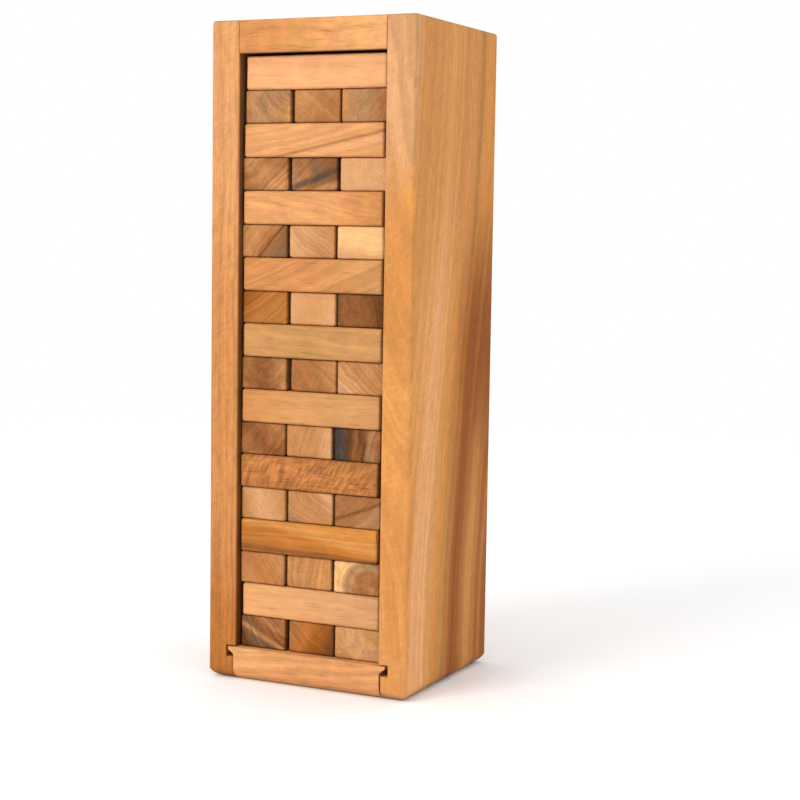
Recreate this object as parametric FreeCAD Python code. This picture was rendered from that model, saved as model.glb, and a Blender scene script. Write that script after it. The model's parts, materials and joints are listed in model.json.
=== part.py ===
import FreeCAD, Part
import os

# A tumbling tower of wooden blocks, stored in an open-fronted wooden case with a sliding base.
# All sizes are in millimetres. The origin is at the bottom centre of the case, +Z is up, the
# open front faces -Y, and +X is on the right of someone who looks at the front.

# Tower: three blocks side by side make a square layer, and each layer lies across the last.
LAYERS = 18
BLOCKS_PER_LAYER = 3
BLOCK_LENGTH = 55.0
BLOCK_HEIGHT = 11.65
BLOCK_EDGE_RADIUS = 0.7
LAYER_SLACK = 0.4  # how much less than one block length three block widths measure

# Case: two full-height sides with the back and the top glued between them.
SIDE_THICKNESS = 11.2
BACK_THICKNESS = 11.2
TOP_THICKNESS = 11.5
UPRIGHT_EDGE_RADIUS = 1.5
BOTTOM_EDGE_RADIUS = 5.0
TOP_EDGE_RADIUS = 1.0
MOUTH_EDGE_RADIUS = 0.5  # the panels' front edges, round the opening and at the glued joints

# Room round the tower.
SIDE_PLAY = 2.6  # a crosswise block and the two sides, both ends together
LAYER_GAP = 0.05  # under each layer, because sawn faces are never quite flat
REAR_PLAY = 1.8  # behind the tower
TOP_PLAY = 0.9  # over the tower
FRONT_RECESS = 2.0  # from the front of the case back to the tower

# Sliding base: a tongue along each upper edge runs in a groove in the side panel.
BASE_THICKNESS = 12.0
BASE_SIDE_PLAY = 0.6  # the base and the two sides, both together
BASE_LEFT_GAP = 0.1  # the part of that play on the left, where the base leans
BASE_REAR_CLEARANCE = 0.3
REBATE_DEPTH = 0.8  # how much thinner the side panels are beside the base
TONGUE_REACH = 2.2
TONGUE_ROOT_HEIGHT = 2.6
TONGUE_TIP_HEIGHT = 1.0
GROOVE_CLEARANCE_ABOVE = 0.6
GROOVE_CLEARANCE_BELOW = 1.0
GROOVE_CLEARANCE_BEYOND = 0.8
BASE_EDGE_RADIUS = 0.5

# How the blocks happen to lie. Layers are listed from the bottom up, and each value is a share
# of the free play, so that the blocks keep apart at any size.
# Endwise layers: left of the left block, then the gap to the middle one, then to the right one.
ENDWISE_GAPS = [
    (0.27, 0.40, 0.13),
    (0.10, 0.20, 0.27),
    (0.17, 0.17, 0.23),
    (0.03, 0.07, 0.37),
    (0.10, 0.50, 0.13),
    (0.17, 0.25, 0.23),
    (0.03, 0.20, 0.27),
    (0.10, 0.33, 0.37),
    (0.38, 0.33, 0.17),
]
# How far back an endwise block stands, for the left, middle and right block of a layer.
ENDWISE_SETBACKS = (0.45, 0.7, 0.55)
# Crosswise layers: the front block's shift to the right, as a share of the play at one end.
CROSSWISE_SHIFTS = [0.3, -0.45, -0.7, -0.35, -0.1, -0.2, -0.3, -0.15, 0.4]
# The same for the middle and rear blocks, as a factor on the front block's shift.
CROSSWISE_FACTORS = (1.0, -0.5, 0.6)
# Crosswise layers: in front of the front block, then the gaps to the middle and rear ones.
CROSSWISE_GAPS = (0.05, 0.25, 0.2)

# Sizes that follow from those above.
BLOCK_WIDTH = (BLOCK_LENGTH - LAYER_SLACK) / BLOCKS_PER_LAYER
LAYER_PITCH = BLOCK_HEIGHT + LAYER_GAP
OPENING_WIDTH = BLOCK_LENGTH + SIDE_PLAY
TOWER_ROOM_DEPTH = BLOCK_LENGTH + REAR_PLAY
CASE_WIDTH = OPENING_WIDTH + 2 * SIDE_THICKNESS
CASE_DEPTH = FRONT_RECESS + TOWER_ROOM_DEPTH + BACK_THICKNESS
CASE_HEIGHT = BASE_THICKNESS + LAYERS * LAYER_PITCH + TOP_PLAY + TOP_THICKNESS
FRONT = -CASE_DEPTH / 2
BACK = CASE_DEPTH / 2
BACK_PANEL_FRONT = BACK - BACK_THICKNESS
TOWER_FRONT = FRONT + FRONT_RECESS
INNER_SIDE = OPENING_WIDTH / 2
REBATED_SIDE = INNER_SIDE + REBATE_DEPTH
TOP_PANEL_BOTTOM = CASE_HEIGHT - TOP_THICKNESS
TOLERANCE = 1e-4


def box(x0, x1, y0, y1, z0, z1):
    """A box between two opposite corners."""
    return Part.makeBox(x1 - x0, y1 - y0, z1 - z0, FreeCAD.Vector(x0, y0, z0))


def prism(section, y0, y1):
    """A closed outline of (x, z) points, drawn out along Y."""
    points = [FreeCAD.Vector(x, y0, z) for x, z in section]
    face = Part.Face(Part.makePolygon(points + points[:1]))
    return face.extrude(FreeCAD.Vector(0, y1 - y0, 0))


def along(edge, axis):
    """Whether a straight edge runs along "X", "Y" or "Z"."""
    if not isinstance(edge.Curve, Part.Line):
        return False
    return abs(abs(getattr(edge.Curve.Direction, axis.lower())) - 1) < TOLERANCE


def at(edge, axis, value):
    """Whether the whole edge lies in the plane where "X", "Y" or "Z" has that value."""
    low = getattr(edge.BoundBox, axis + "Min")
    high = getattr(edge.BoundBox, axis + "Max")
    return abs(low - value) < TOLERANCE and abs(high - value) < TOLERANCE


def rounded(shape, radius, wanted):
    """The shape with the edges that wanted() picks rounded."""
    return shape.makeFillet(radius, [edge for edge in shape.Edges if wanted(edge)])


def case_block():
    """The outer size of the case, with sharp edges."""
    return box(-CASE_WIDTH / 2, CASE_WIDTH / 2, FRONT, BACK, 0, CASE_HEIGHT)


def bottom_rounded(axis):
    """The same block with its two bottom edges along that axis rounded."""

    def wanted(edge):
        return at(edge, "Z", 0) and along(edge, axis)

    return rounded(case_block(), BOTTOM_EDGE_RADIUS, wanted)


def case_envelope():
    """The outside of the case as one block, which trims every panel to the same roundings."""
    shape = rounded(case_block(), UPRIGHT_EDGE_RADIUS, lambda edge: along(edge, "Z"))
    shape = rounded(shape, TOP_EDGE_RADIUS, lambda edge: at(edge, "Z", CASE_HEIGHT))
    return shape.common(bottom_rounded("X")).common(bottom_rounded("Y"))


def side_panel(envelope, side):
    """A full-height side with a groove and a rebate for the base. side is -1 on the left."""
    groove_top = BASE_THICKNESS + GROOVE_CLEARANCE_ABOVE
    groove_bottom = BASE_THICKNESS - TONGUE_ROOT_HEIGHT - GROOVE_CLEARANCE_BELOW
    groove_side = REBATED_SIDE + TONGUE_REACH + GROOVE_CLEARANCE_BEYOND
    panel = box(INNER_SIDE, CASE_WIDTH / 2, FRONT, BACK, 0, CASE_HEIGHT)
    rebate = box(INNER_SIDE, REBATED_SIDE, FRONT, BACK_PANEL_FRONT, 0, groove_top)
    groove = box(INNER_SIDE, groove_side, FRONT, BACK_PANEL_FRONT, groove_bottom, groove_top)
    panel = panel.cut(rebate.fuse(groove))

    def mouth(edge):
        inside = at(edge, "X", INNER_SIDE) or at(edge, "X", REBATED_SIDE)
        return along(edge, "Z") and at(edge, "Y", FRONT) and inside

    panel = rounded(panel, MOUTH_EDGE_RADIUS, mouth)
    if side < 0:
        panel = panel.mirror(FreeCAD.Vector(0, 0, 0), FreeCAD.Vector(1, 0, 0))
    return panel.common(envelope)


def back_panel(envelope):
    """The back, between the sides and under the top."""
    panel = box(-INNER_SIDE, INNER_SIDE, BACK_PANEL_FRONT, BACK, 0, TOP_PANEL_BOTTOM)
    return panel.common(envelope)


def top_panel(envelope):
    """The top, between the sides, from the front to the back of the case."""
    panel = box(-INNER_SIDE, INNER_SIDE, FRONT, BACK, TOP_PANEL_BOTTOM, CASE_HEIGHT)

    def mouth(edge):
        return at(edge, "Y", FRONT) and not at(edge, "Z", CASE_HEIGHT)

    return rounded(panel, MOUTH_EDGE_RADIUS, mouth).common(envelope)


def sliding_base(envelope):
    """The base, with a tongue on each side that slopes underneath and is flush on top."""
    left = BASE_LEFT_GAP - REBATED_SIDE
    right = REBATED_SIDE - (BASE_SIDE_PLAY - BASE_LEFT_GAP)
    root = BASE_THICKNESS - TONGUE_ROOT_HEIGHT
    tip = BASE_THICKNESS - TONGUE_TIP_HEIGHT
    section = [
        (left, 0),
        (right, 0),
        (right, root),
        (right + TONGUE_REACH, tip),
        (right + TONGUE_REACH, BASE_THICKNESS),
        (left - TONGUE_REACH, BASE_THICKNESS),
        (left - TONGUE_REACH, tip),
        (left, root),
    ]
    base = prism(section, FRONT, BACK_PANEL_FRONT - BASE_REAR_CLEARANCE)

    def front_top(edge):
        return at(edge, "Y", FRONT) and at(edge, "Z", BASE_THICKNESS)

    return rounded(base, BASE_EDGE_RADIUS, front_top).common(envelope)


def block(x, y, z, size_x, size_y):
    """A block with every edge softened, from its left front lower corner."""
    shape = box(x, x + size_x, y, y + size_y, z, z + BLOCK_HEIGHT)
    return rounded(shape, BLOCK_EDGE_RADIUS, lambda edge: True)


def endwise_layer(number, z):
    """Three blocks with their ends to the front, as {node name: shape}."""
    play = OPENING_WIDTH - BLOCKS_PER_LAYER * BLOCK_WIDTH
    shapes = {}
    x = -INNER_SIDE
    places = ("left", "middle", "right")
    for place, gap, setback in zip(places, ENDWISE_GAPS[number // 2], ENDWISE_SETBACKS):
        x += gap * play
        y = TOWER_FRONT + setback * REAR_PLAY
        shapes[f"block_{number:02d}_{place}"] = block(x, y, z, BLOCK_WIDTH, BLOCK_LENGTH)
        x += BLOCK_WIDTH
    return shapes


def crosswise_layer(number, z):
    """Three blocks with a long side to the front, as {node name: shape}."""
    play = TOWER_ROOM_DEPTH - BLOCKS_PER_LAYER * BLOCK_WIDTH
    front_shift = CROSSWISE_SHIFTS[number // 2 - 1] * SIDE_PLAY / 2
    shapes = {}
    y = TOWER_FRONT
    places = ("front", "middle", "rear")
    for place, gap, factor in zip(places, CROSSWISE_GAPS, CROSSWISE_FACTORS):
        y += gap * play
        x = front_shift * factor - BLOCK_LENGTH / 2
        shapes[f"block_{number:02d}_{place}"] = block(x, y, z, BLOCK_LENGTH, BLOCK_WIDTH)
        y += BLOCK_WIDTH
    return shapes


def tower():
    """All the layers, from the bottom up. The first has its ends to the front."""
    shapes = {}
    for number in range(1, LAYERS + 1):
        z = BASE_THICKNESS + LAYER_GAP + (number - 1) * LAYER_PITCH
        layer = endwise_layer if number % 2 else crosswise_layer
        shapes.update(layer(number, z))
    return shapes


def main():
    envelope = case_envelope()
    shapes = {
        "side_left": side_panel(envelope, -1),
        "side_right": side_panel(envelope, 1),
        "back_panel": back_panel(envelope),
        "top_panel": top_panel(envelope),
        "sliding_base": sliding_base(envelope),
    }
    shapes.update(tower())
    os.makedirs("parts", exist_ok=True)
    for name, shape in shapes.items():
        shape.exportStep(f"parts/{name}.step")


main()
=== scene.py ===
import json
import math
import random

import bpy
import numpy as np
from mathutils import Matrix, Vector, noise

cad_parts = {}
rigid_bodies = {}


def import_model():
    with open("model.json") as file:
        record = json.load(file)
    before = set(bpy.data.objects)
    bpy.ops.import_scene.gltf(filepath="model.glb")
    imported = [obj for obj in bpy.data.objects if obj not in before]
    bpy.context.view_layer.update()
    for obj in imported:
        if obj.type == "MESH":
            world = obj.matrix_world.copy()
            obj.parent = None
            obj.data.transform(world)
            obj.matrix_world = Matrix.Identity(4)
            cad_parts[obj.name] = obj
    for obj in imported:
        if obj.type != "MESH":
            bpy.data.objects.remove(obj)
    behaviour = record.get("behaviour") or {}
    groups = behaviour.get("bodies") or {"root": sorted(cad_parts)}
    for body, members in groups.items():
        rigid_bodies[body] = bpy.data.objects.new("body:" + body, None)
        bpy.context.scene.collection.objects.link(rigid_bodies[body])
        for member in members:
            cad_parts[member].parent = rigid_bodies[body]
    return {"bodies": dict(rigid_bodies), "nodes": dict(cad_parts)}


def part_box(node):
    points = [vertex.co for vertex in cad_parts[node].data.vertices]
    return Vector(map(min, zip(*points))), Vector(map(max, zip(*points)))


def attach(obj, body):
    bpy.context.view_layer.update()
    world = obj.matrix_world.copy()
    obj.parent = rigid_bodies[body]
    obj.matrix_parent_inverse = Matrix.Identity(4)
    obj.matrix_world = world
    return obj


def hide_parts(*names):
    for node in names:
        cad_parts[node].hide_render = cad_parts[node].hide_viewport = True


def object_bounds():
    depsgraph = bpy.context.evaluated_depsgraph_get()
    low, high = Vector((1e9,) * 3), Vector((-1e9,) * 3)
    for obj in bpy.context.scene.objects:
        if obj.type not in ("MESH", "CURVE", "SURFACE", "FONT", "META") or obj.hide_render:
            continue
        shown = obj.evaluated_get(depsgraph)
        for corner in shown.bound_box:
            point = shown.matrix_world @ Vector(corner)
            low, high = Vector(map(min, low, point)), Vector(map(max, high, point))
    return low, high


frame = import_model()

cad_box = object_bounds()
MM = 0.001

# ---------------------------------------------------------------- colours, linear RGB
TONES = {
    "cream": (0.79, 0.44, 0.19),
    "peach": (0.76, 0.36, 0.16),
    "sand": (0.73, 0.35, 0.14),
    "beige": (0.62, 0.31, 0.14),
    "honey": (0.68, 0.31, 0.12),
    "amber": (0.59, 0.245, 0.08),
    "copper": (0.62, 0.245, 0.05),
    "clay": (0.68, 0.30, 0.085),
    "ginger": (0.61, 0.255, 0.07),
    "moss": (0.50, 0.22, 0.05),
    "chestnut": (0.40, 0.125, 0.008),
    "wine": (0.27, 0.07, 0.003),
    "sienna": (0.46, 0.17, 0.05),
    "orange": (0.50, 0.17, 0.03),
    "tan": (0.50, 0.22, 0.08),
    "straw": (0.57, 0.27, 0.10),
    "olive": (0.50, 0.25, 0.085),
    "drab": (0.40, 0.20, 0.09),
    "rust": (0.45, 0.16, 0.035),
    "russet": (0.33, 0.10, 0.012),
    "brown": (0.37, 0.145, 0.048),
    "mauve": (0.35, 0.14, 0.055),
    "bark": (0.25, 0.09, 0.028),
    "umber": (0.16, 0.055, 0.016),
    "grey": (0.21, 0.105, 0.05),
    "slate": (0.06, 0.046, 0.038),
}
# What full mottling adds to red, green and blue.
REDDER = (0.05, -0.07, 0.05)
YELLOWER = (-0.03, 0.09, -0.18)
# What each feature adds to the lightness where it is absent and where it is full.
RING_LIGHT = (-0.30, 0.14)
BROAD_RING_LIGHT = (-0.20, 0.12)
PATCH_LIGHT = (-0.24, 0.16)
FIBRE_LIGHT = (-0.20, 0.20)
FLECK_LIGHT = (0.0, 0.34)
PORE_LIGHT = (0.0, -0.55)
# Painted shade for the gaps between the blocks, on the long faces near the ends.
PAINTED_GAP_SHADE = (0.0, -0.45)
WEAR_LIGHT = (0.0, -0.14)
# Painted shade on the case's faces round the tower.
INSIDE_PAINTED_SHADE = (0.0, -0.72)

# ---------------------------------------------------------------- figure of the wood, in mm
# Noise: how long its features are for their width, how many there are in a mm, detail, roughness.
WANDER_NOISE = (4, 0.06, 2.0, 0.55)
FIBRE_NOISE = (22, 2.4, 3.0, 0.65)
PATCH_NOISE = (2.2, 0.32, 3.0, 0.6)
FLECK_NOISE = (4, 0.75, 2.0, 0.55)
NOISE_RANGE = (0.3, 0.7)  # where most of a noise's values lie
# Rings: noise detail of the fine and the broad ones, and how many broad ones for each fine one.
RING_DETAIL, BROAD_DETAIL, BROAD_RINGS, RING_ROUGH = 2.0, 3.0, 0.22, 0.6
RANDOM_ALONG, RANDOM_RING, BROAD_START = (300, 900), (-90, 90), 7  # where a piece starts in them
SWAY = 8  # how far the grain wanders from side to side
LEVEL_SWAY = 4.0  # times as far where the tones change with the height
RADIAL_DRIFT = 0.10  # how far tones round the pith follow the rings
STREAK_SWAY = 0.25  # times as far as the grain
STREAK_FADE = (0.4, 1.6)  # where a streak starts and stops fading, for its half width of 1
STREAK_PATCHES = (0.55, 0.9)  # a streak's strength where it is thin, and what patches add
FLECK_TURN, FLECK_DEPTH, FLECK_MIDDLE = 0.6, 0.2, 0.6
FLECK_PLACES = (0.25, 0.5)  # the range of the wander over which flecks appear
PORES_ALONG, PORES_ACROSS = 0.07, 1.5  # pores in a mm
PORE_RADIUS, PORE_SPREAD, PORE_RIM = 0.02, 0.20, 0.12  # for a pore's room of 1
PAINTED_GAP_SHADE_DEPTH = (6, 0.6)  # how far from the end the painted shade for the gaps between the blocks starts and is full
END_ANGLE = (0.35, 0.9)  # the share of the normal along the fibre on long faces and on ends
WEAR_ANGLE = (0.72, 0.98)  # the largest share of the normal on worn and on unworn surface
WEAR_PLACES = (0.35, 0.6)  # the range of the patches over which wear appears

# ---------------------------------------------------------------- surface of the wood
ROUGHNESS = 0.40
FIBRE_ROUGHNESS = 0.20
END_ROUGHNESS = 0.10
PORE_ROUGHNESS = 0.20
WEAR_ROUGHNESS = -0.10
PORE_HEIGHT, FIBRE_HEIGHT, RING_HEIGHT = -1.0, 0.6, 0.25
BUMP_DEPTH = 0.12 * MM
BUMP_STRENGTH = 0.35
SPECULAR = 0.07


# ---------------------------------------------------------------- shader nodes
def node(tree, kind, inputs=None, **settings):
    """A new shader node. inputs maps a socket's name or number to a value or to an output to link."""
    new = tree.nodes.new(kind)
    for key, value in settings.items():
        setattr(new, key, value)
    for key, value in (inputs or {}).items():
        socket = new.inputs[key]
        if isinstance(value, bpy.types.NodeSocket):
            tree.links.new(value, socket)
        else:
            socket.default_value = value
    return new


def maths(tree, operation, a, b=None, c=None, clamp=False):
    """The output of a Math node on numbers or outputs."""
    inputs = {i: v for i, v in enumerate((a, b, c)) if v is not None}
    return node(tree, "ShaderNodeMath", inputs, operation=operation, use_clamp=clamp).outputs[0]


def vmaths(tree, operation, a, b=None):
    """The output of a Vector Math node on vectors or outputs."""
    inputs = {i: v for i, v in enumerate((a, b)) if v is not None}
    new = node(tree, "ShaderNodeVectorMath", inputs, operation=operation)
    return new.outputs["Value"] if operation in ("DOT_PRODUCT", "LENGTH") else new.outputs[0]


def split(tree, colour):
    """The three channels of a colour output."""
    return node(tree, "ShaderNodeSeparateColor", {0: colour}).outputs


def mix(tree, factor, a, b, blend="MIX"):
    """The colour output of a Mix node."""
    new = tree.nodes.new("ShaderNodeMix")
    new.data_type = "RGBA"
    new.blend_type = blend
    for socket, value in ((new.inputs[0], factor), (new.inputs[6], a), (new.inputs[7], b)):
        if isinstance(value, bpy.types.NodeSocket):
            tree.links.new(value, socket)
        elif isinstance(value, (tuple, list)):
            socket.default_value = (*value[:3], 1.0)
        else:
            socket.default_value = value
    return new.outputs[2]


def tone_ramp(tree, share, tones):
    """The colour output of a Color Ramp through [(share, tone name)]."""
    new = node(tree, "ShaderNodeValToRGB", {0: share})
    elements = new.color_ramp.elements
    new.color_ramp.interpolation = "EASE"
    while len(elements) < len(tones):
        elements.new(0.5)
    for element, (position, tone) in zip(elements, tones):
        element.position = position
    for element, (position, tone) in zip(elements, tones):
        element.color = (*TONES[tone], 1.0)
    return new.outputs[0]


def remap(tree, value, low, high, to_low=0.0, to_high=1.0):
    """value brought smoothly from the range low to high to the range to_low to to_high."""
    return node(tree, "ShaderNodeMapRange", {0: value, 1: low, 2: high, 3: to_low, 4: to_high},
                interpolation_type="SMOOTHSTEP").outputs[0]


def spread(tree, value):
    """A noise, whose values mostly lie in the middle, spread over 0 to 1."""
    return remap(tree, value, *NOISE_RANGE)


def scaled(changes, strength):
    """The factors that bring about some changes at that strength."""
    return [1 + change * strength for change in changes]


def gain(tree, light, factor, low, high):
    """light times a number that goes from low to high as factor goes from 0 to 1."""
    return maths(tree, "MULTIPLY", light, maths(tree, "MULTIPLY_ADD", factor, high - low, low))


def scaled_place(tree, along, u, v, per_mm_along, per_mm):
    """A place in the grain as the vector that a texture is looked up with."""
    return node(tree, "ShaderNodeCombineXYZ",
                {0: maths(tree, "MULTIPLY", along, per_mm_along),
                 1: maths(tree, "MULTIPLY", u, per_mm),
                 2: maths(tree, "MULTIPLY", v, per_mm)}).outputs[0]


def stretched_noise(tree, along, u, v, kind):
    """One of the kinds of noise above, at a place in the grain."""
    stretch, per_mm, detail, rough = kind
    place = scaled_place(tree, along, u, v, per_mm / stretch, per_mm)
    return node(tree, "ShaderNodeTexNoise",
                {"Vector": place, "Scale": 1.0, "Detail": detail, "Roughness": rough})


def bands(tree, value, scale, offset, detail):
    """One-dimensional noise along value, for growth rings."""
    return node(tree, "ShaderNodeTexNoise",
                {"W": maths(tree, "MULTIPLY_ADD", value, scale, offset), "Scale": 1.0,
                 "Detail": detail, "Roughness": RING_ROUGH}, noise_dimensions="1D").outputs[0]


# ---------------------------------------------------------------- wood
OPENING_SLACK = 0.2 * MM  # how far past its walls the opening is taken to reach
MOUTH_SHADE_FADE = (0.3 * MM, 1.4 * MM)  # how far behind the front the painted shade inside the case starts and is full
AXES = {"X": Vector((1, 0, 0)), "Y": Vector((0, 1, 0)), "Z": Vector((0, 0, 1))}
# For each fibre direction, the two axes across it.
ACROSS = {"X": ("Y", "Z"), "Y": ("X", "Z"), "Z": ("X", "Y")}


class Grain:
    """The wood of one piece while its material is built, with the outputs that its steps share.

    along runs with the fibre, and u and v lie across it and wander with the grain, all in mm.
    """

    def __init__(self, name, fibre, seed):
        self.material = bpy.data.materials.new(name)
        self.material.use_nodes = True
        self.tree = self.material.node_tree
        self.tree.nodes.clear()
        self.fibre = fibre
        draw = random.Random(seed)
        self.start = draw.uniform(*RANDOM_ALONG)
        self.first_ring = draw.uniform(*RANDOM_RING)
        self.coords = node(self.tree, "ShaderNodeTexCoord").outputs["Object"]
        self.normal = node(self.tree, "ShaderNodeNewGeometry").outputs["Normal"]


def lay_grain(g, middle, wobble, sweep, half_length):
    """The coordinates along and across the grain, which wanders slowly and may bend once."""
    tree = g.tree
    scale = node(tree, "ShaderNodeVectorMath", {0: g.coords, "Scale": 1 / MM}, operation="SCALE")
    g.mm = vmaths(tree, "SUBTRACT", scale.outputs[0], middle)
    parts = node(tree, "ShaderNodeSeparateXYZ", {0: g.mm}).outputs
    first, second = ACROSS[g.fibre]
    g.along = parts[g.fibre]
    g.shifted = maths(tree, "ADD", g.along, g.start)
    wander = stretched_noise(tree, g.shifted, parts[first], parts[second], WANDER_NOISE)
    g.wander = split(tree, wander.outputs["Color"])
    g.sway = [maths(tree, "MULTIPLY_ADD", w, SWAY * wobble, -SWAY / 2 * wobble) for w in g.wander]
    g.u = maths(tree, "ADD", parts[first], g.sway[0])
    g.v = maths(tree, "ADD", parts[second], g.sway[1])
    if sweep:
        bend = remap(tree, g.along, -half_length, half_length, sweep / 2, -sweep / 2)
        g.v = maths(tree, "ADD", g.v, bend)


def lay_patterns(g, pith, lean, ring):
    """Growth rings round the pith, fibres and patches."""
    tree = g.tree
    ru = maths(tree, "SUBTRACT", g.u, maths(tree, "MULTIPLY_ADD", g.along, lean[0], pith[0]))
    rv = maths(tree, "SUBTRACT", g.v, maths(tree, "MULTIPLY_ADD", g.along, lean[1], pith[1]))
    squares = maths(tree, "ADD", maths(tree, "MULTIPLY", ru, ru), maths(tree, "MULTIPLY", rv, rv))
    g.radius = maths(tree, "SQRT", squares)
    g.fine = bands(tree, g.radius, 1 / ring, g.first_ring, RING_DETAIL)
    g.broad = bands(tree, g.radius, BROAD_RINGS / ring, g.first_ring + BROAD_START, BROAD_DETAIL)
    g.fibres = stretched_noise(tree, g.shifted, g.u, g.v, FIBRE_NOISE).outputs[0]
    clouds = stretched_noise(tree, g.shifted, g.u, g.v, PATCH_NOISE)
    g.patches = split(tree, clouds.outputs["Color"])


def paint_tones(g, tones, toward, radial, drift, levels):
    """The tones across the piece, or outwards from the pith, and the other tones below a level."""
    tree = g.tree
    if radial:
        near, far = radial
        drift = RADIAL_DRIFT
        share = maths(tree, "MULTIPLY_ADD", g.radius, 1 / (far - near), -near / (far - near))
    else:
        first, second = ACROSS[g.fibre]
        aim = Vector(toward) / (2 * Vector(toward).length_squared)
        place = node(tree, "ShaderNodeCombineXYZ", {g.fibre: g.along, first: g.u, second: g.v})
        share = maths(tree, "ADD", vmaths(tree, "DOT_PRODUCT", place.outputs[0], aim), 0.5)
    share = maths(tree, "ADD", share, maths(tree, "MULTIPLY_ADD", g.broad, drift, -drift / 2))
    colour = tone_ramp(tree, share, tones)
    for low, high, below in levels:
        height = maths(tree, "MULTIPLY_ADD", g.sway[0], LEVEL_SWAY, g.along)
        colour = mix(tree, remap(tree, height, low, high), tone_ramp(tree, share, below), colour)
    return colour


def paint_streaks(g, colour, streaks):
    """Streaks that lie in planes and are patchy."""
    tree = g.tree
    for normal, place, half, tone, strength in streaks:
        across = vmaths(tree, "DOT_PRODUCT", g.mm, Vector(normal).normalized())
        distance = maths(tree, "MULTIPLY_ADD", g.sway[2], STREAK_SWAY,
                         maths(tree, "SUBTRACT", across, place))
        full, none = (half * share for share in STREAK_FADE)
        mask = remap(tree, maths(tree, "ABSOLUTE", distance), full, none, strength, 0.0)
        patchy = maths(tree, "MULTIPLY_ADD", g.patches[1], STREAK_PATCHES[1], STREAK_PATCHES[0])
        colour = mix(tree, maths(tree, "MULTIPLY", mask, patchy, clamp=True), colour, TONES[tone])
    return colour


def tint_patches(g, colour, mottle):
    """A little more yellow here and more red there."""
    tree = g.tree
    tint = mix(tree, spread(tree, g.patches[0]), tuple(scaled(REDDER, mottle)),
               tuple(scaled(YELLOWER, mottle)))
    return mix(tree, 1.0, colour, tint, "MULTIPLY")


def figure_light(g, lines, mottle):
    """How light the rings, the patches and the fibres make the wood."""
    tree = g.tree
    light = gain(tree, 1.0, spread(tree, g.fine), *scaled(RING_LIGHT, lines))
    light = gain(tree, light, spread(tree, g.broad), *scaled(BROAD_RING_LIGHT, lines))
    light = gain(tree, light, spread(tree, g.patches[2]), *scaled(PATCH_LIGHT, mottle))
    return gain(tree, light, g.fibres, *scaled(FIBRE_LIGHT, 1.0))


def flecks_on(g):
    """Curly flecks across the grain, in parts of the piece."""
    tree = g.tree
    side = maths(tree, "ADD", g.u, g.v)
    turned = maths(tree, "MULTIPLY_ADD", g.along, FLECK_TURN, side)
    across = maths(tree, "MULTIPLY_ADD", side, -FLECK_TURN, g.along)
    deep = maths(tree, "MULTIPLY", g.u, FLECK_DEPTH)
    fleck = spread(tree, stretched_noise(tree, turned, across, deep, FLECK_NOISE).outputs[0])
    return maths(tree, "MULTIPLY", maths(tree, "SUBTRACT", fleck, FLECK_MIDDLE),
                 remap(tree, g.wander[2], *FLECK_PLACES))


def pores_on(g):
    """1 in the pores: thin dashes on the long faces, and dots on the end grain."""
    tree = g.tree
    cells = scaled_place(tree, g.shifted, g.u, g.v, PORES_ALONG, PORES_ACROSS)
    pore = node(tree, "ShaderNodeTexVoronoi", {"Vector": cells, "Scale": 1.0}, feature="F1")
    chance = split(tree, pore.outputs["Color"])[0]
    radius = maths(tree, "MULTIPLY_ADD", chance, PORE_SPREAD, PORE_RADIUS)
    outside = maths(tree, "SUBTRACT", pore.outputs["Distance"], radius)
    return remap(tree, outside, 0.0, PORE_RIM, 1.0, 0.0)


def end_grain(g):
    """1 where the surface cuts across the fibre."""
    facing = vmaths(g.tree, "DOT_PRODUCT", g.normal, AXES[g.fibre])
    return remap(g.tree, maths(g.tree, "ABSOLUTE", facing), *END_ANGLE)


def painted_gap_shade_mask(g, half_length, end):
    """1 on the long faces close to the ends, where shade is painted for the gaps between the blocks."""
    tree = g.tree
    deep, shallow = PAINTED_GAP_SHADE_DEPTH
    near = remap(tree, maths(tree, "ABSOLUTE", g.along), half_length - deep, half_length - shallow)
    return maths(tree, "MULTIPLY", near, maths(tree, "SUBTRACT", 1.0, end))


def worn_edges(g):
    """1 on the rounded edges, where hands have been."""
    tree = g.tree
    size = node(tree, "ShaderNodeSeparateXYZ", {0: vmaths(tree, "ABSOLUTE", g.normal)}).outputs
    flat = maths(tree, "MAXIMUM", maths(tree, "MAXIMUM", size[0], size[1]), size[2])
    return maths(tree, "MULTIPLY", remap(tree, flat, *WEAR_ANGLE, 1.0, 0.0),
                 remap(tree, g.patches[1], *WEAR_PLACES))


def painted_shade_inside_case(g, half_width, front, back, top, bottom):
    """1 on the case's faces round the tower, where shade is painted, and 0 on its outer faces."""
    tree = g.tree
    x, y, z = node(tree, "ShaderNodeSeparateXYZ", {0: g.coords}).outputs
    start, full = MOUTH_SHADE_FADE
    masks = [maths(tree, "LESS_THAN", maths(tree, "ABSOLUTE", x), half_width + OPENING_SLACK),
             remap(tree, y, front + start, front + full),
             maths(tree, "LESS_THAN", y, back + OPENING_SLACK),
             maths(tree, "LESS_THAN", z, top + OPENING_SLACK),
             maths(tree, "GREATER_THAN", z, bottom)]
    within = masks[0]
    for mask in masks[1:]:
        within = maths(tree, "MULTIPLY", within, mask)
    return within


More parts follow.
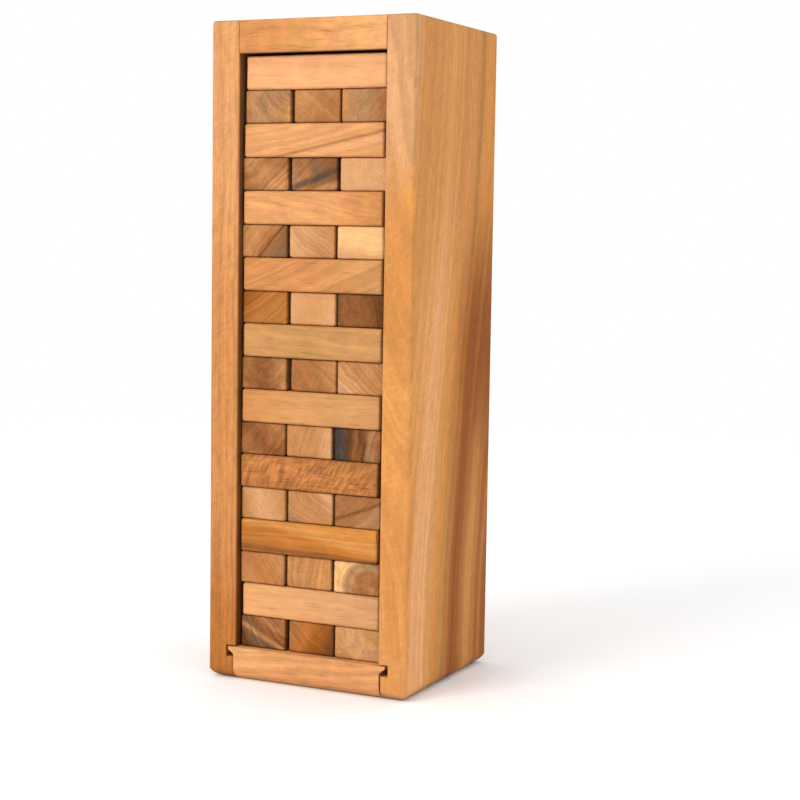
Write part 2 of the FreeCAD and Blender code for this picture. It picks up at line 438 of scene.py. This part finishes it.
def add_shader(g, colour, hole, end, wear):
    """The surface, rougher in the pores and on the end grain, and smoother where it is worn."""
    tree = g.tree
    rough = maths(tree, "MULTIPLY_ADD", g.fibres, FIBRE_ROUGHNESS, ROUGHNESS)
    for mask, change in ((end, END_ROUGHNESS), (hole, PORE_ROUGHNESS), (wear, WEAR_ROUGHNESS)):
        rough = maths(tree, "MULTIPLY_ADD", mask, change, rough)
    height = maths(tree, "MULTIPLY", g.fibres, FIBRE_HEIGHT)
    height = maths(tree, "MULTIPLY_ADD", hole, PORE_HEIGHT, height)
    height = maths(tree, "MULTIPLY_ADD", g.fine, RING_HEIGHT, height)
    bump = node(tree, "ShaderNodeBump",
                {"Height": height, "Strength": BUMP_STRENGTH, "Distance": BUMP_DEPTH})
    shader = node(tree, "ShaderNodeBsdfPrincipled",
                  {"Base Color": colour, "Roughness": rough, "Normal": bump.outputs[0],
                   "Specular IOR Level": SPECULAR})
    node(tree, "ShaderNodeOutputMaterial", {"Surface": shader.outputs[0]})


def wood(name, fibre, seed, tones, toward=(9, 9, 5), radial=None, pith=(60, 60), lean=(0, 0),
         levels=(), sweep=0, half_length=1, ring=1.2, lines=0.5, mottle=0.4, wobble=1.0,
         pores=0.3, flecks=0.0, drift=0.24, faces=(0.72, 1.0), streaks=(), middle=(0, 0, 0),
         gap_shade_half_length=None, inside=None):
    """Solid wood whose grain runs through the piece along one axis.

    tones is [(share, tone name)], from the point at -toward to the one at toward, in mm from the
    middle of the piece, or with radial=(near, far) by the distance from the pith. pith is where
    the heart of the tree lies in the plane across the fibre, and lean how far it moves per mm.
    drift is how far the tones follow the rings, and ring the width of one in mm. The grain bends
    sideways by sweep mm from the high to the low end of a piece of that half length, wobble is
    how much it wanders, and for each of levels (low, high, tones) the tones change below that
    height. lines, mottle, pores and flecks are strengths, and faces the lightness of the end
    grain and of the long faces. A streak is (normal, place, half width, tone, strength). middle
    is the middle of the piece in mm. The argument after middle is half the length of a piece
    whose long faces get painted shade close to its ends, for the gaps between the blocks, and
    inside is the opening of the case, on whose faces shade is painted.
    """
    g = Grain(name, fibre, seed)
    lay_grain(g, middle, wobble, sweep, half_length)
    lay_patterns(g, pith, lean, ring)
    colour = paint_tones(g, tones, toward, radial, drift, levels)
    colour = paint_streaks(g, colour, streaks)
    colour = tint_patches(g, colour, mottle)
    tree = g.tree
    hole, end, wear = pores_on(g), end_grain(g), worn_edges(g)
    light = figure_light(g, lines, mottle)
    if flecks:
        light = gain(tree, light, flecks_on(g), *scaled(FLECK_LIGHT, flecks))
    light = gain(tree, light, hole, *scaled(PORE_LIGHT, pores))
    light = gain(tree, light, end, faces[1], faces[0])
    # Painted shade for the gaps between the blocks, on the long faces close to the ends.
    if gap_shade_half_length:
        light = gain(tree, light, painted_gap_shade_mask(g, gap_shade_half_length, end), *scaled(PAINTED_GAP_SHADE, 1.0))
    # Painted shade on the case's faces round the tower.
    if inside:
        light = gain(tree, light, painted_shade_inside_case(g, **inside), *scaled(INSIDE_PAINTED_SHADE, 1.0))
    light = gain(tree, light, wear, *scaled(WEAR_LIGHT, 1.0))
    shade = node(tree, "ShaderNodeCombineColor", {0: light, 1: light, 2: light}).outputs[0]
    add_shader(g, mix(tree, 1.0, colour, shade, "MULTIPLY"), hole, end, wear)
    return g.material


# ---------------------------------------------------------------- shape of a block
BLOCK_EDGE = 0.95 * MM  # the radius of its edges
EDGE_STEPS = 3  # faces across an edge
GRID_STEP = 1.1 * MM  # about the size of the other faces
WEAR_SCALES = ((0.23, 0.16), (0.9, 0.10))  # (waves in a mm, share of the edge worn away)
NICK_SCALE, NICK_LIMIT, NICK_DEPTH = 0.55, 0.52, 1.6
WEAR_GROWTH = 4  # how fast the wear grows from the flat faces to the middle of an edge
WEAR_SHIFT = 9  # how far apart the blocks' wear is drawn from, in mm


def rounded_grid(size, radius):
    """Points along one axis of a rounded box: close together in the roundings, even between."""
    half = size / 2
    flat = size - 2 * radius
    count = max(2, round(flat / GRID_STEP))
    low = [-half + radius * i / EDGE_STEPS for i in range(EDGE_STEPS)]
    middle = [-half + radius + flat * i / count for i in range(count + 1)]
    high = [half - radius * i / EDGE_STEPS for i in range(EDGE_STEPS)][::-1]
    return np.array(low + middle + high)


def box_shell(axes):
    """The points and faces of a closed box, with grid lines at those places along each axis."""
    points, faces, index = [], [], {}

    def vertex(i, j, k):
        key = (i, j, k)
        if key not in index:
            index[key] = len(points)
            points.append((axes[0][i], axes[1][j], axes[2][k]))
        return index[key]

    counts = [len(a) for a in axes]
    for axis in range(3):
        first, second = (axis + 1) % 3, (axis + 2) % 3
        for end in (0, counts[axis] - 1):
            for a in range(counts[first] - 1):
                for b in range(counts[second] - 1):
                    corners = []
                    for da, db in ((0, 0), (1, 0), (1, 1), (0, 1)):
                        ijk = [0, 0, 0]
                        ijk[axis], ijk[first], ijk[second] = end, a + da, b + db
                        corners.append(vertex(*ijk))
                    faces.append(corners if end else corners[::-1])
    return np.array(points), faces


def worn_point(point, half, shift):
    """Where a point of the sharp box lies once its edges are rounded, worn and slightly nicked."""
    inner = np.clip(point, -half + BLOCK_EDGE, half - BLOCK_EDGE)
    out = point - inner
    direction = out / np.linalg.norm(out)
    bevel = 1 - np.max(np.abs(direction))
    reach = BLOCK_EDGE
    if bevel > 1e-6:
        place = Vector(point) / MM
        worn = sum(noise.noise(place * scale + shift) * depth for scale, depth in WEAR_SCALES)
        nick = max(0.0, noise.noise(place * NICK_SCALE - shift * 2) - NICK_LIMIT) * NICK_DEPTH
        reach -= BLOCK_EDGE * min(1.0, bevel * WEAR_GROWTH) * max(0.0, worn + nick)
    return inner + direction * reach


def block_mesh(name, size, seed):
    """A sawn and sanded block, with worn edges, that stays inside a box of that size."""
    half = np.array(size) / 2
    points, faces = box_shell([rounded_grid(s, BLOCK_EDGE) for s in size])
    draw = random.Random(seed)
    shift = Vector([draw.uniform(-WEAR_SHIFT, WEAR_SHIFT) for axis in range(3)])
    mesh = bpy.data.meshes.new(name)
    mesh.from_pydata([worn_point(point, half, shift).tolist() for point in points], [], faces)
    mesh.polygons.foreach_set("use_smooth", [True] * len(faces))
    return mesh


# ---------------------------------------------------------------- blocks
LOOKS = {}


def even_tones(*tones):
    """Those tones, evenly spaced."""
    step = 1 / (len(tones) - 1)
    return [(i * step, tone) for i, tone in enumerate(tones)]


def look(layer, place, *tones, **words):
    """How the block at a place looks. The layers count from the bottom, and the tones run from
    its near lower left to its far upper right, or as toward says."""
    LOOKS[layer, place] = dict(tones=even_tones(*tones), **words)


# Growth rings that rise or fall to the right.
RISING = dict(pith=(-50, 60))
FALLING = dict(pith=(50, 60))

# What a block has unless its look says otherwise: the lightness of its ends and long faces. The darker
# long faces of the endwise blocks are painted shade for the gaps between the blocks.
CROSSWISE = dict(faces=(0.72, 1.0))
ENDWISE = dict(faces=(1.0, 0.9), pores=0.6)

look(18, "front", "peach", "peach", toward=(20, 0, 4), lines=0.2, mottle=0.3, pores=0.15)
look(17, "left", "tan", "drab", "tan", toward=(6, 0, -6), **FALLING, lines=0.4)
look(17, "middle", "brown", "tan", toward=(-8, 0, 5), **FALLING, lines=0.4, mottle=0.5)
look(17, "right", "tan", "drab", "brown", toward=(9, 0, 2), **RISING, lines=0.4, mottle=0.5)
look(16, "front", "honey", "honey", toward=(25, 0, -4), pith=(30, -90), lean=(0, 0.22), ring=2.2,
     lines=0.4, mottle=0.3,
     streaks=[((-0.22, 0, 1), -2.7, 0.55, "brown", 0.7), ((-0.22, 0, 1), -5.0, 1.6, "peach", 0.8)])
look(15, "left", "brown", "tan", "brown", toward=(4, 0, 6), **RISING, lines=0.7, mottle=0.5)
look(15, "middle", "drab", "brown", "grey", "bark", toward=(8, 0, 3), **RISING, lines=0.6,
     mottle=0.5, streaks=[((-0.35, 0, 1), -6.3, 1.4, "tan", 0.9),
                          ((-0.35, 0, 1), -1.6, 1.2, "slate", 0.7)])
look(15, "right", "beige", "beige", toward=(9, 0, 5), pith=(80, 10), lines=0.15, mottle=0.3)
look(14, "front", "honey", "honey", "amber", toward=(26, 0, -3), pith=(50, 70), lean=(0, -0.12),
     lines=0.3, mottle=0.5)
look(13, "left", "tan", "tan", "brown", "grey", toward=(7, 0, -5), pith=(60, -60), lines=0.5,
     mottle=0.4, streaks=[((0.75, 0, -0.66), 2.2, 0.4, "umber", 0.9)])
look(13, "middle", "tan", "beige", toward=(-6, 0, 5), **FALLING, lines=0.4, mottle=0.3)
look(13, "right", "beige", "cream", "cream", toward=(2, 0, 6), pith=(10, 70), lines=0.2, mottle=0.2)
look(12, "front", "amber", "amber", "straw", toward=(27, 0, 2), pith=(20, -80), lean=(0, 0.4),
     ring=1.6, lines=0.5, mottle=0.3)
look(11, "left", "rust", "rust", "russet", toward=(-7, 0, 6), **RISING, lines=0.9, mottle=0.3)
look(11, "middle", "beige", "straw", "beige", toward=(9, 0, -4), pith=(5, 90), lines=0.1,
     mottle=0.2, pores=0.3)
look(11, "right", "bark", "bark", "umber", toward=(8, 0, 2), pith=(90, 20), ring=0.8, lines=0.5,
     mottle=0.9, pores=1.0)
look(10, "front", "straw", "olive", "straw", toward=(26, 0, -4), pith=(50, 60), lines=0.3,
     mottle=0.4)
look(9, "left", "brown", "bark", "tan", toward=(9, 0, -2), **RISING, lines=0.4, mottle=0.8)
look(9, "middle", "brown", "brown", "tan", toward=(7, 0, 4), **FALLING, lines=0.3, mottle=0.6)
look(9, "right", "beige", "tan", "tan", toward=(5, 0, 5), **FALLING, lines=0.7, mottle=0.3)
look(8, "front", "amber", "straw", "straw", toward=(26, 0, 3), pith=(60, 40), lines=0.25, mottle=0.3)
look(7, "left", "brown", "bark", "brown", toward=(4, 0, 6), **RISING, lines=0.5, mottle=0.7)
look(7, "middle", "tan", "tan", "beige", toward=(9, 0, 1), pith=(90, -20), lines=0.3, mottle=0.4)
look(7, "right", "slate", "slate", "umber", "bark", "umber", "drab", "brown", toward=(8.5, 0, 0.8),
     pith=(90, -8), ring=1.4, lines=0.8, mottle=0.8, drift=0.32)
look(6, "front", "sienna", "sienna", toward=(26, 0, 2), pith=(20, 30), lines=0.3, mottle=0.5,
     flecks=1.4, wobble=1.2, pores=0.8)
look(5, "left", "tan", "beige", "tan", toward=(9, 0, 3), **FALLING, lines=0.2, mottle=0.4)
look(5, "middle", "drab", "tan", "tan", "beige", toward=(8, 0, 4), **FALLING, lines=0.4,
     mottle=0.3)
look(5, "right", "mauve", "brown", "drab", toward=(5, 0, -5), **RISING, lines=0.4, mottle=0.4,
     streaks=[((-0.42, 0, 1), 0.2, 0.6, "umber", 0.7)])
look(4, "front", "rust", "orange", "ginger", "copper", toward=(1, 0, 5.8), pith=(-10, -50), ring=1.8,
     lines=0.5, mottle=0.4, streaks=[((0.03, 0, 1), -4.6, 0.9, "umber", 0.5)])
look(3, "left", "tan", "sienna", "tan", toward=(8, 0, 4), pith=(90, 50), lines=0.3, mottle=0.4)
look(3, "middle", "tan", "tan", "tan", "amber", "tan", toward=(9, 0, 0.5), pith=(90, 5), lines=0.5,
     mottle=0.4)
look(3, "right", "tan", "brown", "brown", "brown", "drab", "drab", "cream", "cream", radial=(0, 13.5),
     pith=(5.2, -3.6), ring=1.2, wobble=0.5, lines=0.3, mottle=0.8)
look(2, "front", "sand", "beige", toward=(26, 0, 3), pith=(30, 60), lines=0.3, mottle=0.25)
look(1, "left", "umber", "grey", "bark", "brown", toward=(4, 0, 6), **FALLING, lines=0.8, mottle=0.6,
     streaks=[((0.52, 0, 1), -1.2, 0.9, "tan", 0.8), ((0.52, 0, 1), 4.6, 1.2, "tan", 0.5)])
look(1, "middle", "brown", "rust", "russet", "umber", toward=(9, 0, -3), pith=(60, 80), lines=0.5,
     mottle=0.5)
look(1, "right", "olive", "beige", "olive", toward=(8, 0, 4), pith=(40, 40), lines=0.3, mottle=0.7)


def hidden_look(crosswise, rnd):
    """A look for a block that only shows once it is pulled out."""
    tones = ["peach", "honey", "tan", "amber", "beige"] if crosswise else ["tan", "brown", "drab"]
    reach = rnd.uniform(4, 24 if crosswise else 8)
    return dict(tones=[(0, rnd.choice(tones)), (1, rnd.choice(tones))],
                toward=(reach, reach / 2, rnd.uniform(-6, 6)),
                pith=(rnd.uniform(-60, 60), rnd.choice((-1, 1)) * rnd.uniform(20, 80)),
                lines=rnd.uniform(0.2, 0.8), mottle=rnd.uniform(0.2, 0.7))


def make_block(node_name, rnd):
    """One block in place of its CAD solid. Every other layer lies crosswise, from the second up."""
    low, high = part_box(node_name)
    layer, place = int(node_name.split("_")[1]), node_name.split("_")[2]
    crosswise = layer % 2 == 0
    seed = layer * 10 + len(place)
    mesh = block_mesh(f"{node_name}_wood", high - low, seed)
    piece = bpy.data.objects.new(f"{node_name}_wood", mesh)
    piece.location = (low + high) / 2
    bpy.context.scene.collection.objects.link(piece)
    words = dict(CROSSWISE)
    if not crosswise:
        # Endwise blocks get painted shade for the gaps between them, on their long faces near the ends.
        words = dict(ENDWISE, gap_shade_half_length=max(high - low) / 2 / MM)
    words.update(hidden_look(crosswise, rnd))
    words.update(LOOKS.get((layer, place), {}))
    grain = wood(f"{node_name}_grain", "X" if crosswise else "Y", seed, **words)
    mesh.materials.append(grain)
    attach(piece, node_name)
    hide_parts(node_name)


def make_blocks():
    """The 54 blocks of the tower."""
    rnd = random.Random(11)
    for body in sorted(frame["bodies"]):
        if body.startswith("block_"):
            make_block(body, rnd)


# ---------------------------------------------------------------- case
BELOW_BASE_TOP = 3 * MM  # how far below the base's top the painted shade inside the sides still reaches

PANELS = {
    "side_right": dict(
        fibre="Z", seed=5, toward=(4, 48.5, 0), pith=(40, -160), sweep=28.5,
        tones=[(0.03, "beige"), (0.06, "ginger"), (0.27, "ginger"), (0.33, "clay"), (0.37, "ginger"),
               (0.54, "ginger"), (0.575, "moss"), (0.60, "moss"), (0.63, "ginger"), (0.67, "copper")],
        levels=[(10, 75, [(0.10, "ginger"), (0.17, "clay"), (0.24, "clay"), (0.33, "sand"),
                          (0.42, "clay"), (0.48, "copper"), (0.55, "rust"), (0.60, "chestnut"),
                          (0.65, "wine"), (0.69, "wine"), (0.72, "russet"), (0.75, "wine"),
                          (0.80, "wine")]),
                (-65, 0, [(0.275, "ginger"), (0.31, "sand"), (0.40, "sand"), (0.45, "clay"),
                          (0.51, "copper"), (0.56, "moss"), (0.61, "rust"), (0.65, "russet"),
                          (0.675, "wine"), (0.70, "russet"), (0.76, "rust"), (0.80, "moss"),
                          (0.83, "moss"), (0.86, "rust"), (0.89, "russet"), (0.92, "rust"),
                          (0.95, "russet")])],
        ring=2.2, lines=0.35, mottle=0.25, pores=0.2, flecks=0.28, drift=0.05, wobble=0.7),
    "side_left": dict(
        fibre="Z", seed=6, toward=(0, 30, 110), pith=(-110, -30), lean=(0, 0.05),
        tones=even_tones("rust", "amber", "amber", "honey", "honey"), ring=2.2, lines=0.5,
        mottle=0.4, pores=0.3, flecks=0.4),
    "back_panel": dict(
        fibre="Z", seed=7, radial=(0, 60), pith=(6, 22), lean=(0, -0.12),
        tones=even_tones("russet", "amber", "honey", "beige", "honey", "tan"), ring=2.2, lines=0.5,
        mottle=0.4, pores=0.3),
    "top_panel": dict(
        fibre="X", seed=8, toward=(30, 30, 3), pith=(10, 90), tones=even_tones("amber", "sand", "amber"),
        ring=2.0, lines=0.3, mottle=0.5, pores=0.4),
    "sliding_base": dict(
        fibre="X", seed=9, toward=(28, 0, -4), pith=(0, -60), lean=(0, 0.1),
        tones=even_tones("sand", "honey", "honey"), ring=1.8, lines=0.4, mottle=0.4, pores=0.3),
}


def case_opening():
    """The hollow of the case: half its width, and where it ends on the other sides."""
    back, top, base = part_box("back_panel"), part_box("top_panel"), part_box("sliding_base")
    return dict(half_width=top[1].x, front=top[0].y, back=back[0].y, top=top[0].z,
                bottom=base[1].z - BELOW_BASE_TOP)


def make_case():
    """The panels and the base keep their CAD meshes and get wood of their own; the panels' wood has
    painted shade on its faces round the tower.
    """
    opening = case_opening()
    for name, words in PANELS.items():
        low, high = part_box(name)
        panel = frame["nodes"][name]
        panel.data.materials.clear()
        panel.data.materials.append(
            wood(f"{name}_grain", middle=(low + high) / 2 / MM, half_length=max(high - low) / 2 / MM,
                 inside=None if name == "sliding_base" else opening, **words))


# ---------------------------------------------------------------- stage, light and camera
WHITE = (1, 1, 1, 1)
PAPER = (0.96, 0.96, 0.96, 1)
PAPER_ROUGHNESS, PAPER_SPECULAR = 1.0, 0.1
FLOOR_REACH = 3.0
PAPER_FADE = (0.25, 0.9)  # how far from the object the paper starts to fade, and is gone
CAMERA_ANGLES = (25.5, 5.6, 0.9)  # degrees: to the right of the front, upwards, and rolled
CAMERA_DISTANCE = 653.4 * MM  # from the middle of the case
CAMERA_ASIDE, CAMERA_RAISED = 16.9 * MM, -17.0 * MM  # where that middle lies in the picture
LENS, SENSOR = 80.3, 36


def make_stage():
    """White paper, which away from the object is as white as the studio, so no horizon shows."""
    mesh = bpy.data.meshes.new("floor")
    corners = ((-1, -1), (1, -1), (1, 1), (-1, 1))
    mesh.from_pydata([(x * FLOOR_REACH, y * FLOOR_REACH, 0) for x, y in corners], [], [(0, 1, 2, 3)])
    floor = bpy.data.objects.new("floor", mesh)
    bpy.context.scene.collection.objects.link(floor)
    material = bpy.data.materials.new("floor_paper")
    material.use_nodes = True
    tree = material.node_tree
    shader = tree.nodes["Principled BSDF"]
    shader.inputs["Base Color"].default_value = PAPER
    shader.inputs["Roughness"].default_value = PAPER_ROUGHNESS
    shader.inputs["Specular IOR Level"].default_value = PAPER_SPECULAR
    away = vmaths(tree, "LENGTH", node(tree, "ShaderNodeTexCoord").outputs["Object"])
    white = node(tree, "ShaderNodeEmission", {"Color": WHITE, "Strength": 1.0})
    paper = node(tree, "ShaderNodeMixShader",
                 {0: remap(tree, away, *PAPER_FADE), 1: shader.outputs[0], 2: white.outputs[0]})
    tree.links.new(paper.outputs[0], tree.nodes["Material Output"].inputs["Surface"])
    mesh.materials.append(material)


def area_light(name, place, target, size, power):
    """A square soft light of that size and power, aimed at the target."""
    data = bpy.data.lights.new(name, "AREA")
    data.shape = "SQUARE"
    data.size = size
    data.energy = power
    lamp = bpy.data.objects.new(name, data)
    lamp.location = place
    lamp.rotation_euler = (Vector(target) - Vector(place)).to_track_quat("-Z", "Y").to_euler()
    bpy.context.scene.collection.objects.link(lamp)


def make_light():
    """A white studio with a soft light in front on the left and a faint one low on the right."""
    world = bpy.data.worlds.new("studio")
    bpy.context.scene.world = world
    world.use_nodes = True
    background = world.node_tree.nodes["Background"]
    background.inputs["Color"].default_value = WHITE
    background.inputs["Strength"].default_value = 1.0
    area_light("key", place=(-0.45, -1.1, 0.95), target=(0, 0, 0.16), size=0.6, power=8)
    area_light("fill", place=(0.55, -0.30, 0.10), target=(0.04, -0.02, 0.05), size=0.3, power=0.2)


def make_camera():
    """The camera at the photograph's viewing angle, aimed beside the middle of the case."""
    yaw, pitch, roll = (math.radians(angle) for angle in CAMERA_ANGLES)
    back = Vector((math.sin(yaw) * math.cos(pitch), -math.cos(yaw) * math.cos(pitch),
                   math.sin(pitch)))
    level = Vector((math.cos(yaw), math.sin(yaw), 0))
    upright = back.cross(level)
    right = level * math.cos(roll) + upright * math.sin(roll)
    up = upright * math.cos(roll) - level * math.sin(roll)
    low, high = cad_box
    middle = Vector((0, 0, (low.z + high.z) / 2))
    data = bpy.data.cameras.new("camera")
    data.lens = LENS
    data.sensor_width = SENSOR
    data.clip_start = 0.05
    camera = bpy.data.objects.new("camera", data)
    place = middle + back * CAMERA_DISTANCE + right * CAMERA_ASIDE + up * CAMERA_RAISED
    camera.matrix_world = Matrix((
        (right.x, up.x, back.x, place.x),
        (right.y, up.y, back.y, place.y),
        (right.z, up.z, back.z, place.z),
        (0, 0, 0, 1),
    ))
    bpy.context.scene.collection.objects.link(camera)
    bpy.context.scene.camera = camera


make_blocks()
make_case()
make_stage()
make_light()
make_camera()
bpy.context.scene.view_settings.view_transform = "Standard"
